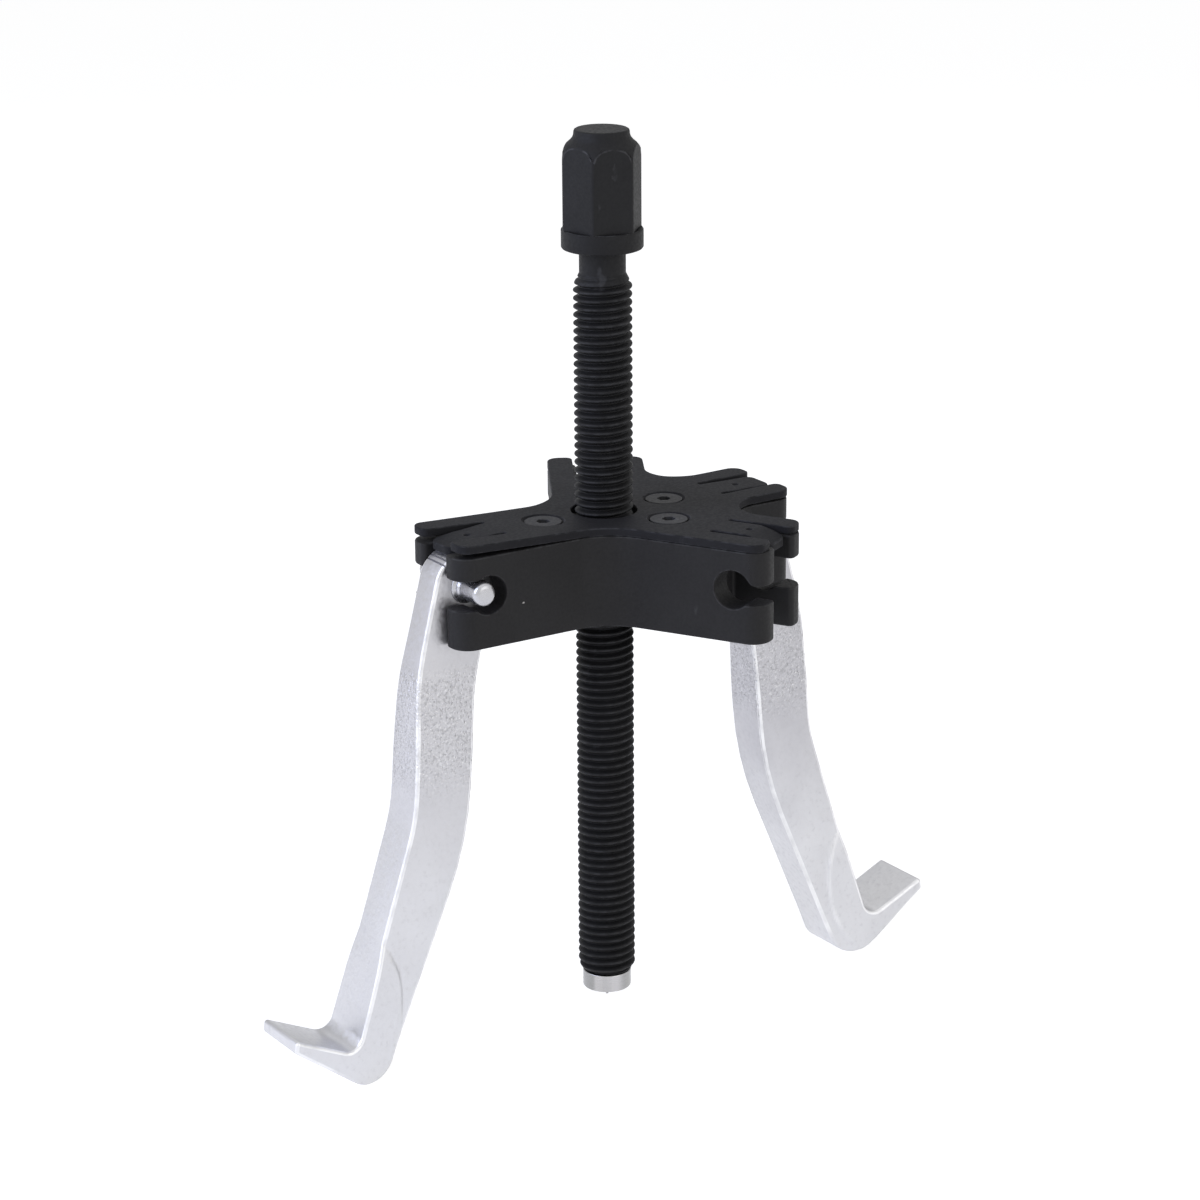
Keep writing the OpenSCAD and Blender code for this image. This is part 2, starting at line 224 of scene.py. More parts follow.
def carved(body: BMesh, tools: Sequence[BMesh]) -> BMesh:
    """Cuts solids out of another with Boolean modifiers.

    Args:
        body: The solid to work on, which is freed.
        tools: The solids that are cut out of it in order, which are freed.

    Returns:
        What is left, with doubles merged and flat faces whole again.
    """
    objects = [put("tool", to_mesh(bm, "tool")) for bm in (body, *tools)]
    for tool in objects[1:]:
        step = objects[0].modifiers.new("cut", "BOOLEAN")
        step.object = tool
        step.operation = "DIFFERENCE"
        step.solver = "EXACT"
    result = objects[0].evaluated_get(bpy.context.evaluated_depsgraph_get())
    left = bmesh.new()
    left.from_mesh(result.to_mesh())
    result.to_mesh_clear()
    for obj in objects:
        mesh = obj.data
        bpy.data.objects.remove(obj)
        bpy.data.meshes.remove(mesh)
    bmesh.ops.remove_doubles(left, verts=left.verts, dist=MERGE)
    bmesh.ops.dissolve_limit(
        left, angle_limit=math.radians(FLAT_TURN), verts=left.verts, edges=left.edges,
    )
    return left


def soften(
    bm: BMesh, width: float, segments: int, angle: float = 35.0,
    pick: Callable[[BMEdge], bool] | None = None,
) -> None:
    """Rounds sharp edges and marks the new faces as rim.

    Args:
        bm: The mesh.
        width: How far a rounding reaches into each face.
        segments: Number of pieces across it.
        angle: Edges that turn more than this, in degrees, are rounded.
        pick: Narrows the choice of edges.
    """
    rim = bm.faces.layers.float.get(RIM) or bm.faces.layers.float.new(RIM)
    limit = math.radians(angle)
    edges = [
        e for e in bm.edges
        if len(e.link_faces) == 2 and e.calc_face_angle(0.0) > limit and (pick is None or pick(e))
    ]
    made = bmesh.ops.bevel(
        bm, geom=edges, offset=width, offset_type="OFFSET", affect="EDGES", segments=segments,
        profile=0.5, material=-1, clamp_overlap=False, loop_slide=True,
    )
    for face in made["faces"]:
        face[rim] = 1.0


def slices(
    bm: BMesh, spots: Iterable[float], normal: Vector, within: Callable[[Vector], bool] | None = None,
) -> None:
    """Cuts a mesh into rows across a direction.

    Args:
        bm: The mesh.
        spots: Distances from the origin along the direction.
        normal: The direction.
        within: Narrows the cuts to faces with their middle there.
    """
    faces = [f for f in bm.faces if within is None or within(f.calc_center_median())]
    edges = {e for f in faces for e in f.edges}
    geom = [*{v for e in edges for v in e.verts}, *edges, *faces]
    for spot in spots:
        geom = bmesh.ops.bisect_plane(
            bm, geom=geom, dist=WELD, plane_co=normal * spot, plane_no=normal,
        )["geom"]


def ramp(value: float, low: float, high: float) -> float:
    """Returns 0 at low and 1 at high, with a smooth start and end."""
    t = min(max((value - low) / (high - low), 0.0), 1.0)
    return t * t * (3 - 2 * t)


def arm_matrix(angle: float) -> Matrix:
    """Returns the turn that lays the X axis along an arm."""
    return Matrix.Rotation(math.radians(angle), 4, "Z")


class Wires:
    """The nodes of one material or world."""

    def __init__(self, tree: bpy.types.NodeTree) -> None:
        """Keeps the node tree."""
        self.tree = tree

    def add(self, kind: str) -> bpy.types.Node:
        """Returns a new shader node of a kind."""
        return self.tree.nodes.new(f"ShaderNode{kind}")

    def feed(self, socket: Socket, value: object) -> None:
        """Links a socket, or sets it where the value is a constant.

        Args:
            socket: The input to feed.
            value: Another node's output, or the constant.
        """
        if isinstance(value, Socket):
            self.tree.links.new(value, socket)
        else:
            socket.default_value = value

    def span(
        self, value: Socket, low: float, high: float, start: float = 0.0, end: float = 1.0,
        smooth: bool = True,
    ) -> Socket:
        """Maps a range onto another.

        Args:
            value: The input.
            low: Input that gives start.
            high: Input that gives end.
            start: Output at low.
            end: Output at high.
            smooth: Whether it starts and ends smoothly.

        Returns:
            The mapped value.
        """
        node = self.add("MapRange")
        node.interpolation_type = "SMOOTHSTEP" if smooth else "LINEAR"
        for name, number in zip(("From Min", "From Max", "To Min", "To Max"), (low, high, start, end)):
            node.inputs[name].default_value = number
        self.feed(node.inputs["Value"], value)
        return node.outputs["Result"]

    def maths(self, operation: str, first: object, second: object) -> Socket:
        """Works out one value from two.

        Args:
            operation: What the Math node does.
            first: First input, as a socket or a number.
            second: Second input, as a socket or a number.

        Returns:
            The value.
        """
        node = self.add("Math")
        node.operation = operation
        self.feed(node.inputs[0], first)
        self.feed(node.inputs[1], second)
        return node.outputs["Value"]

    def times(self, first: object, second: object) -> Socket:
        """Returns the product of two inputs."""
        return self.maths("MULTIPLY", first, second)


class Shade(Wires):
    """One node material around a Principled shader, on Object coordinates."""

    def __init__(self, name: str, metallic: float) -> None:
        """Makes the material.

        Args:
            name: The material's name.
            metallic: Metallic value of the whole surface.
        """
        self.material = bpy.data.materials.new(name)
        self.material.use_nodes = True
        super().__init__(self.material.node_tree)
        self.shader = self.tree.nodes["Principled BSDF"]
        self.shader.inputs["Metallic"].default_value = metallic
        self.place = self.add("TexCoord").outputs["Object"]

    def noise(self, scale: float, detail: float = 4.0, stretch: Triple = (1, 1, 1)) -> Socket:
        """Makes a noise pattern.

        Args:
            scale: Lumps per metre.
            detail: Octaves of finer lumps.
            stretch: Factor on the scale along each axis.

        Returns:
            The pattern's value, around one half.
        """
        spread = self.add("Mapping")
        spread.inputs["Scale"].default_value = stretch
        self.feed(spread.inputs["Vector"], self.place)
        node = self.add("TexNoise")
        self.feed(node.inputs["Vector"], spread.outputs["Vector"])
        node.inputs["Scale"].default_value = scale
        node.inputs["Detail"].default_value = detail
        return node.outputs["Fac"]

    def pits(self, scale: float) -> Socket:
        """Makes a field of small round cells.

        Args:
            scale: Cells per metre.

        Returns:
            The distance from a cell's centre, which is 0 there.
        """
        node = self.add("TexVoronoi")
        self.feed(node.inputs["Vector"], self.place)
        node.inputs["Scale"].default_value = scale
        return node.outputs["Distance"]

    def blend(self, share: object, first: object, second: object) -> Socket:
        """Mixes two colours.

        Args:
            share: Share of the second colour.
            first: First colour, as a socket or three numbers.
            second: Second colour, as a socket or three numbers.

        Returns:
            The mixed colour.
        """
        node = self.add("Mix")
        node.data_type = "RGBA"
        self.feed(node.inputs["Factor"], share)
        colours = [s for s in node.inputs if s.type == "RGBA"]
        for socket, value in zip(colours, (first, second)):
            self.feed(socket, (*value, 1.0) if isinstance(value, tuple) else value)
        return next(s for s in node.outputs if s.type == "RGBA")

    def rim(self) -> Socket:
        """Finds the rounded edges.

        Returns:
            The wear and painted highlight written on the faces: 1 on rounded edges and 0 on plain faces.
        """
        node = self.add("Attribute")
        node.attribute_name = RIM
        return node.outputs["Fac"]

    def axis(self, name: str) -> Socket:
        """Reads one coordinate of the place on the piece.

        Args:
            name: X, Y or Z.

        Returns:
            The coordinate in metres.
        """
        node = self.add("SeparateXYZ")
        self.feed(node.inputs["Vector"], self.place)
        return node.outputs[name]

    def near(self, spot: Triple) -> Socket:
        """Measures the distance from a spot.

        Args:
            spot: The spot in millimetres.

        Returns:
            The distance in metres.
        """
        node = self.add("VectorMath")
        node.operation = "DISTANCE"
        self.feed(node.inputs[0], self.place)
        node.inputs[1].default_value = Vector(spot) * MM
        return node.outputs["Value"]

    def paint(self, colour: Socket, roughness: Socket) -> None:
        """Gives the shader its colour and its roughness."""
        self.feed(self.shader.inputs["Base Color"], colour)
        self.feed(self.shader.inputs["Roughness"], roughness)

    def relief(self, height: Socket, depth: float, strength: float = 1.0) -> None:
        """Gives the surface a relief.

        Args:
            height: Pattern from 0 to 1.
            depth: Depth in millimetres of a full step.
            strength: Share of the relief that shows.
        """
        node = self.add("Bump")
        node.inputs["Strength"].default_value = strength
        node.inputs["Distance"].default_value = depth * MM
        self.feed(node.inputs["Height"], height)
        earlier = self.shader.inputs["Normal"]
        if earlier.is_linked:
            self.feed(node.inputs["Normal"], earlier.links[0].from_socket)
        self.feed(earlier, node.outputs["Normal"])


@dataclass(frozen=True)
class OxideFinish:
    """Blackened steel: mottled, finely grained, paler along its edges from wear and a painted highlight."""

    name: str
    slot: str
    dark: Triple
    light: Triple
    worn_and_sheen: Triple
    roughness: Point = (0.5, 0.64)
    metallic: float = 0.0
    gloss: float = 0.2
    cloud: float = 70.0
    grain: float = 1500.0
    grain_depth: float = 0.014
    rub_and_sheen: float = 420.0
    rub_and_sheen_band: Point = (0.4, 0.62)
    edge_wear_and_sheen: float = 0.5
    scuff: float = 160.0
    scuff_stretch: Triple = (1.0, 1.0, 0.55)
    scuff_limit: float = 0.68
    scuff_band: float = 0.06
    scuff_share: float = 0.35
    chip: Triple | None = None
    chip_colour: Triple = (0.6, 0.58, 0.56)
    chip_edge: Point = (1.35, 1.15)
    chip_noise: float = 900.0
    chip_ragged: float = 1.6

    def material(self) -> bpy.types.Material:
        """Builds the node material.

        Returns:
            The material.
        """
        shade = Shade(self.name, self.metallic)
        cloud = shade.span(shade.noise(self.cloud), *MIDDLE)
        colour = shade.blend(cloud, self.dark, self.light)
        # paler rounded edges and thread crests: wear and a painted highlight
        rub_and_sheen = shade.span(shade.noise(self.rub_and_sheen, detail=6.0), *self.rub_and_sheen_band)
        edge = shade.times(shade.times(shade.rim(), rub_and_sheen), self.edge_wear_and_sheen)
        colour = shade.blend(edge, colour, self.worn_and_sheen)
        marks = shade.noise(self.scuff, detail=8.0, stretch=self.scuff_stretch)
        scuff = shade.span(marks, self.scuff_limit, self.scuff_limit + self.scuff_band)
        colour = shade.blend(shade.times(scuff, self.scuff_share), colour, self.worn_and_sheen)
        if self.chip:
            ragged = shade.times(shade.noise(self.chip_noise), self.chip_ragged * MM)
            away = shade.maths("ADD", shade.near(self.chip), ragged)
            pale = shade.span(away, *(reach * MM for reach in self.chip_edge))
            colour = shade.blend(pale, colour, self.chip_colour)
        fine = shade.noise(self.grain, detail=3.0)
        shade.paint(colour, shade.span(fine, *MIDDLE, *self.roughness))
        shade.shader.inputs["Specular IOR Level"].default_value = self.gloss
        shade.relief(fine, self.grain_depth)
        return shade.material


@dataclass(frozen=True)
class Specks:
    """Fine specks of another colour, dark grit or painted glints: their noise, which part of it shows and
    how strongly.
    """

    scale: float
    detail: float
    band: Point
    share: float


@dataclass(frozen=True)
class ZincFinish:
    """Zinc-plated forging: satin, grainy, pitted below the head with painted glints among the pits, paler
    along its edges from wear and a painted highlight, and darker towards the head from painted shade.
    """

    name: str
    slot: str
    # dull and bright are the ends of random tone and of painted shade by height
    dull: Triple
    bright: Triple
    rubbed_and_highlit: Triple
    pitted: Triple = (0.3, 0.3, 0.31)
    roughness: Point = (0.3, 0.46)
    metallic: float = 0.9
    cloud: float = 60.0
    cloud_swing: float = 0.15
    grain: float = 900.0
    grain_depth: float = 0.09
    grain_band: Point = (0.55, 0.75)
    grain_share: float = 0.35
    shaded_from: float = 92.0
    lit_from: float = 14.0
    pit_top: float = 97.0
    pit_bottom: float = 60.0
    pit_fade: Point = (6.0, 12.0)
    pit_cells: float = 1300.0
    pit_band: Point = (0.1, 0.5)
    pit_depth: float = 0.2
    pit_share: float = 0.6
    grit: Specks = Specks(1300.0, 2.0, (0.5, 0.66), 0.5)
    painted_glint: Specks = Specks(1700.0, 3.0, (0.54, 0.68), 0.3)
    rub_and_sheen: float = 140.0
    rub_and_sheen_band: Point = (0.3, 0.6)
    rub_and_sheen_range: Point = (0.3, 0.9)
    rub_and_sheen_bottom: float = -3.0
    rub_and_sheen_fade: float = 8.0
    wave: float = 110.0
    wave_depth: float = 0.5
    wave_share: float = 0.35

    def material(self) -> bpy.types.Material:
        """Builds the node material.

        Returns:
            The material.
        """
        shade = Shade(self.name, self.metallic)
        height = shade.axis("Z")
        cloud = shade.noise(self.cloud, detail=6.0)
        cloud = shade.span(cloud, *MIDDLE, -self.cloud_swing, self.cloud_swing)
        # painted shade: darker towards the head, lighter towards the foot, by height
        painted_shade = shade.span(height, self.shaded_from * MM, self.lit_from * MM)
        colour = shade.blend(shade.maths("ADD", cloud, painted_shade), self.dull, self.bright)
        fine = shade.noise(self.grain, detail=5.0)
        grain = shade.span(fine, *self.grain_band, 0.0, self.grain_share)
        colour = shade.blend(grain, colour, self.dull)
        zone = shade.times(
            shade.span(height, self.pit_top * MM, (self.pit_top - self.pit_fade[0]) * MM),
            shade.span(height, self.pit_bottom * MM, (self.pit_bottom + self.pit_fade[1]) * MM),
        )
        dents = shade.span(shade.pits(self.pit_cells), *self.pit_band)
        # dark grit specks, and painted glints, in the pitted zone
        for specks, tint in ((self.grit, self.pitted), (self.painted_glint, self.rubbed_and_highlit)):
            spots = shade.span(shade.noise(specks.scale, specks.detail), *specks.band)
            colour = shade.blend(shade.times(shade.times(zone, spots), specks.share), colour, tint)
        # wear and a painted highlight along the rounded edges and the pads' crests
        patches = shade.span(shade.noise(self.rub_and_sheen), *self.rub_and_sheen_band, *self.rub_and_sheen_range)
        above = shade.span(height, self.rub_and_sheen_bottom * MM, (self.rub_and_sheen_bottom + self.rub_and_sheen_fade) * MM)
        edge = shade.times(shade.times(shade.rim(), patches), above)
        colour = shade.blend(edge, colour, self.rubbed_and_highlit)
        shade.paint(colour, shade.span(fine, *MIDDLE, *self.roughness))
        shade.relief(fine, self.grain_depth)
        shade.relief(shade.noise(self.wave, detail=2.0), self.wave_depth, self.wave_share)
        shade.relief(shade.times(zone, dents), self.pit_depth, self.pit_share)
        return shade.material


@dataclass(frozen=True)
class TurnedFinish:
    """Bright turned steel with fine rings from the tool, with painted shade towards both sides and random
    streaks that also stand in for reflection bands.
    """

    name: str
    slot: str
    colour: Triple
    stain_and_shade: Triple
    roughness: Point = (0.16, 0.3)
    rings: float = 3200.0
    ring_stretch: Triple = (0.02, 0.02, 1.0)
    ring_depth: float = 0.012
    streak: float = 190.0
    streak_stretch: Triple = (1.0, 1.0, 0.06)
    streak_band: Point = (0.38, 0.62)
    streak_share: float = 0.4
    left_shade: Point = (-5.1, -5.7)
    right_shade: Point = (-1.0, 1.5)
    right_shade_share: float = 0.85

    def material(self) -> bpy.types.Material:
        """Builds the node material.

        Returns:
            The material.
        """
        shade = Shade(self.name, 1.0)
        side = shade.axis("X")
        # painted shade on both sides of the tip, along X
        left = shade.span(side, *(MM * x for x in self.left_shade))
        right = shade.span(side, *(MM * x for x in self.right_shade), 0.0, self.right_shade_share)
        rings = shade.noise(self.rings, detail=2.0, stretch=self.ring_stretch)
        # random streaks, which also stand in for reflection bands
        streak = shade.noise(self.streak, detail=3.0, stretch=self.streak_stretch)
        streak = shade.times(shade.span(streak, *self.streak_band), self.streak_share)
        stained_and_shaded = shade.maths("MAXIMUM", streak, shade.maths("MAXIMUM", left, right))
        colour = shade.blend(stained_and_shaded, self.colour, self.stain_and_shade)
        shade.paint(colour, shade.span(rings, *MIDDLE, *self.roughness))
        shade.relief(rings, self.ring_depth)
        return shade.material


Finish = OxideFinish | ZincFinish | TurnedFinish


@dataclass(frozen=True)
class Arm:
    """One arm of the yoke."""

    name: str
    angle: float
    fitted: bool
    lip: int
    lift: float
    drop: float


ARMS = (
    Arm("right", 0.0, True, 0, 0.4, 0.1),
    Arm("back", 60.0, False, 1, 0.0, 2.0),
    Arm("left", 180.0, True, 0, 1.3, 1.0),
    Arm("front", 300.0, False, -1, 0.0, 2.0),
)
HALF_ARM = 12.0
WIDE_FILLET = 14.0
NARROW_FILLET = 8.5
FILLET_STEPS = 24
SCREW_RING = 17.3
SCREW_TOP = 124.9
SCREW_HOLE = ((0, 111.9), (2.55, 111.9), (2.55, 122.3), (5.1, 124.85), (5.1, 127), (0, 127))


def on_arm(arm: Arm, x: float, z: float = 0.0) -> Matrix:
    """Returns the move from the origin to a place along an arm."""
    return arm_matrix(arm.angle) @ Matrix.Translation((x, 0, z))


def dress(obj: bpy.types.Object, finish: Finish) -> None:
    """Gives a piece or a CAD node its finish.

    Args:
        obj: The object.
        finish: The finish, whose material is made once.
    """
    material = bpy.data.materials.get(finish.name) or finish.material()
    obj.data.materials.clear()
    obj.data.materials.append(material)


def piece(
    name: str, bm: BMesh, finish: Finish, body: str, nodes: Sequence[str], crease: float = 40.0,
    flat: bool = False,
) -> None:
    """Makes a finished piece of a mesh in millimetres.

    Args:
        name: The piece's name.
        bm: Its mesh, which is freed.
        finish: Its finish.
        body: The CAD body that it rides on.
        nodes: The CAD nodes that it stands for.
        crease: Edges that turn more than this, in degrees, stay sharp.
        flat: Whether large flat faces keep their own shading.
    """
    if not bm.faces.layers.float.get(RIM):
        bm.faces.layers.float.new(RIM)
    bmesh.ops.scale(bm, vec=Vector((MM, MM, MM)), verts=bm.verts)
    mesh = to_mesh(bm, name)
    mesh.shade_smooth()
    mesh.set_sharp_from_angle(angle=math.radians(crease))
    obj = put(name, mesh)
    if flat:
        normals = obj.modifiers.new("normals", "WEIGHTED_NORMAL")
        normals.keep_sharp = True
    dress(obj, finish)
    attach(obj, body)
    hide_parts(*nodes)
    LOG.info("%s: %d faces on %s", name, len(mesh.polygons), body)


def star(tip: Callable[[Outline, Arm], None]) -> Outline:
    """Draws the outline that block and plate share: four arms with hollow corners.

    Args:
        tip: Draws one arm's end, from its right side to its left.

    Returns:
        The whole outline.
    """
    outline = Outline(bmesh.new())
    for here, there in zip(ARMS, (*ARMS[1:], ARMS[0])):
        outline.turn = here.angle
        tip(outline, here)
        spread = (there.angle - here.angle) % 360
        fillet = NARROW_FILLET if spread < 90 else WIDE_FILLET
        away = (HALF_ARM + fillet) / math.sin(math.radians(spread / 2))
        outline.turn = here.angle + spread / 2
        outline.arc((away, 0), fillet, -90 - spread / 2, -270 + spread / 2, FILLET_STEPS)
    return outline


def screw_room() -> BMesh:
    """Returns the cutter for the four screw holes with their countersinks."""
    return gather(moved(lathe(SCREW_HOLE, steps=40), on_arm(arm, SCREW_RING)) for arm in ARMS)


@dataclass
class Yoke:
    """The star-shaped block with its forked arms and keyholes."""

    finish: OxideFinish
    top: float = 123.0
    bottom: float = 100.5
    reach: float = 47.5
    corner: float = 4.5
    cheek_corner: float = 1.3
    fork_half: float = 4.8
    fork_root: float = 32.0
    root_corner: float = 0.9
    bore: float = 7.12
    bore_ends: Point = (99.0, 125.0)
    seat: Point = (39.6, 113.5)
    seat_r: float = 4.65
    slot_top: float = 117.35
    slot_floor: float = 110.15
    lip_top: float = 114.65
    throat: float = 2.5
    edge: float = 0.4

    def tip(self, outline: Outline, arm: Arm) -> None:
        """Draws one forked arm's end.

        Args:
            outline: The outline, turned to the arm.
            arm: The arm; not used, since all arms have the same fork.
        """
        r, c, q, h = self.corner, self.cheek_corner, self.root_corner, self.fork_half
        outline.arc((self.reach - r, r - HALF_ARM), r, -90, 0, steps=10)
        outline.arc((self.reach - c, -h - c), c, 0, 90, steps=4)
        outline.arc((self.fork_root + q, q - h), q, -90, -180, steps=3)
        outline.arc((self.fork_root + q, h - q), q, 180, 90, steps=3)
        outline.arc((self.reach - c, h + c), c, -90, 0, steps=4)
        outline.arc((self.reach - r, HALF_ARM - r), r, 0, 90, steps=10)

    def keyhole(self, arm: Arm, top: float, low: float, high: float) -> BMesh:
        """Makes the cutter for one keyhole.

        Args:
            arm: The arm.
            top: Height of the slot's top edge.
            low: One end of the cut across the arm.
            high: Its other end.

        Returns:
            The cutter.
        """
        rise, drop = top - self.seat[1], self.slot_floor - self.seat[1]
        mouth = self.reach - self.seat[0] + OVER
        ease_z = rise + self.throat
        ease_x = math.sqrt((self.seat_r + self.throat) ** 2 - ease_z**2)
        lean = math.degrees(math.atan2(ease_z, ease_x))
        outline = Outline(bmesh.new())
        outline.point(mouth, drop)
        outline.arc((0, 0), self.seat_r, math.degrees(math.asin(drop / self.seat_r)), lean - 360, steps=30)
        outline.arc((ease_x, ease_z), self.throat, 180 + lean, 270, steps=6)
        outline.point(mouth, rise)
        cutter = outline.solid(-high, -low, Plane.UPRIGHT)
        return moved(cutter, on_arm(arm, *self.seat))

    def keyholes(self) -> BMesh:
        """Makes the cutters for all keyholes.

        Returns:
            The cutters in one mesh.
        """
        past, inside = HALF_ARM + OVER, self.fork_half - OVER
        cutters = []
        for arm in ARMS:
            if arm.fitted:
                cutters.append(self.keyhole(arm, self.slot_top, -past, past))
                continue
            for side in (-1, 1):
                top = self.lip_top if side == arm.lip else self.slot_top
                ends = sorted((side * inside, side * past))
                cutters.append(self.keyhole(arm, top, *ends))
        return gather(cutters)

    def build(self) -> BMesh:
        """Makes the block.

        Returns:
            Its mesh.
        """
        block = star(self.tip).solid(self.bottom, self.top)
        block = carved(block, [rod(self.bore, *self.bore_ends), self.keyholes(), screw_room()])
        soften(block, self.edge, segments=2)
        return block

    def dress(self) -> None:
        """Builds the block's piece with its finish."""
        piece("yoke_body", self.build(), self.finish, "yoke", ["yoke_block"], flat=True)


@dataclass
class SpringPlate:
    """The sheet on the block, with a tongue and two prongs over each arm."""

    finish: OxideFinish
    top: float = 125.0
    thickness: float = 2.0
    reach: float = 46.9
    prong_corner: float = 3.0
    inner_corner: float = 1.7
    tongue_half: float = 4.4
    slot: float = 1.3
    tongue_root: float = 30.7
    tongue_bend: float = 39.4
    tongue_tip: float = 45.9
    tongue_corner: float = 2.0
    dimple: float = 38.4
    hole: float = 8.0
    lift_from: float = 12.0
    corner_reach: float = 5.0
    lift_power: float = 1.15
    drop_power: float = 1.2
    edge: float = 0.3
    edge_turn: float = 50.0
    punch: Profile = ((0, 124.2), (0.5, 124.4), (0.75, 124.8), (0.75, 126), (0, 126))
    rows: tuple[float, ...] = (12, 15, 18, 22, 26, 30, 33, 36, 38, 39.5, 41, 42.5, 44, 45.2)

    def tip(self, outline: Outline, arm: Arm) -> None:
        """Draws the prongs and the tongue over one arm.

        Args:
            outline: The outline, turned to the arm.
            arm: The arm; not used, since all arms have the same cut.
        """
        p, c, t, s = self.prong_corner, self.inner_corner, self.tongue_corner, self.slot / 2
        h, end = self.tongue_half, self.reach
        root, mid = self.tongue_root + s, h + s
        outline.arc((end - p, p - HALF_ARM), p, -90, 0, steps=8)
        outline.arc((end - c, -h - self.slot - c), c, 0, 90, steps=6)
        outline.arc((root, -mid), s, -90, -270, steps=6)
        outline.arc((self.tongue_tip - t, t - h), t, -90, 0, steps=6)
        outline.arc((self.tongue_tip - t, h - t), t, 0, 90, steps=6)
        outline.arc((root, mid), s, -90, -270, steps=6)
        outline.arc((end - c, h + self.slot + c), c, -90, 0, steps=6)
        outline.arc((end - p, HALF_ARM - p), p, 0, 90, steps=8)

    def bend(self, arm: Arm, along: float, across: float) -> float:
        """Works out how far a point of the plate leaves the flat.

        Args:
            arm: The arm.
            along: Distance from the spindle along the arm.
            across: Distance from the arm's middle.

        Returns:
            The rise, or the drop where it is negative.
        """
        length = self.reach - self.lift_from
        rise = arm.lift * (max(along - self.lift_from, 0.0) / length) ** self.lift_power
        if abs(across) > self.tongue_half + self.slot / 2 or along < self.tongue_root:
            return rise * (1 - ramp(abs(across), HALF_ARM, HALF_ARM + self.corner_reach))
        root = arm.lift * ((self.tongue_root - self.lift_from) / length) ** self.lift_power
        rise = root * (1 - ramp(along, self.tongue_root, self.tongue_bend))
        slope = max(along - self.tongue_bend, 0.0) / (self.tongue_tip - self.tongue_bend)
        return rise - arm.drop * slope**self.drop_power

    def build(self) -> BMesh:
        """Makes the plate.

        Returns:
            Its mesh.
        """
        low = self.top - self.thickness
        plate = star(self.tip).solid(low, self.top)
        hole = rod(self.hole, low - OVER, self.top + OVER)
        marks = gather(moved(lathe(self.punch, steps=16), on_arm(arm, self.dimple)) for arm in ARMS)
        plate = carved(plate, [hole, screw_room(), marks])
        soften(plate, self.edge, segments=3, angle=self.edge_turn)
        for arm in ARMS:
            slices(plate, self.rows, (arm_matrix(arm.angle) @ OUT).to_3d())
        for arm in ARMS:
            back = arm_matrix(-arm.angle)
            for vert in plate.verts:
                spot = back @ vert.co
                if spot.x > self.lift_from and abs(spot.y) < HALF_ARM + self.corner_reach:
                    vert.co.z += self.bend(arm, spot.x, spot.y)
        return plate

    def dress(self) -> None:
        """Builds the plate's piece with its finish."""
        piece("plate_sheet", self.build(), self.finish, "yoke", ["spring_plate"], flat=True)


@dataclass
class PlateScrews:
    """The four countersunk screws that hold the plate."""

    finish: OxideFinish
    shank_r: float = 2.5
    head_r: float = 4.7
    length: float = 12.0
    chamfer: float = 0.5
    head_rim: Profile = ((-0.25, -0.25), (-0.2, -0.1), (-0.35, 0.0))
    key: float = 3.0
    key_depth: float = 1.8
    key_edge: float = 0.12
    key_turn: float = 60.0

    def on_key(self, edge: BMEdge) -> bool:
        """Returns whether an edge is the socket's upper one."""
        return all(v.co.z > SCREW_TOP - NEAR and v.co.xy.length < self.key for v in edge.verts)

    def build(self, arm: Arm) -> BMesh:
        """Makes one screw.

        Args:
            arm: The arm that it stands on.

        Returns:
            Its mesh.
        """
        top, foot = SCREW_TOP, SCREW_TOP - self.length
        screw = lathe([
            (0, foot), (self.shank_r - self.chamfer, foot), (self.shank_r, foot + self.chamfer),
            (self.shank_r, top - (self.head_r - self.shank_r)),
            *((self.head_r + r, top + z) for r, z in self.head_rim), (0, top),
        ], steps=48)
        socket = bmesh.new()
        radius = self.key / math.sqrt(3)
        bmesh.ops.create_cone(
            socket, cap_ends=True, segments=6, radius1=radius, radius2=radius, depth=2 * self.key_depth,
        )
        screw = carved(screw, [moved(socket, Matrix.Translation((0, 0, top)))])
        soften(screw, self.key_edge, segments=2, angle=self.key_turn, pick=self.on_key)
        return moved(screw, on_arm(arm, SCREW_RING))

    def dress(self) -> None:
        """Builds the four screws with their finish."""
        for arm in ARMS:
            node = f"screw_{arm.name}"
            piece(f"{node}_head", self.build(arm), self.finish, "yoke", [node], flat=True)


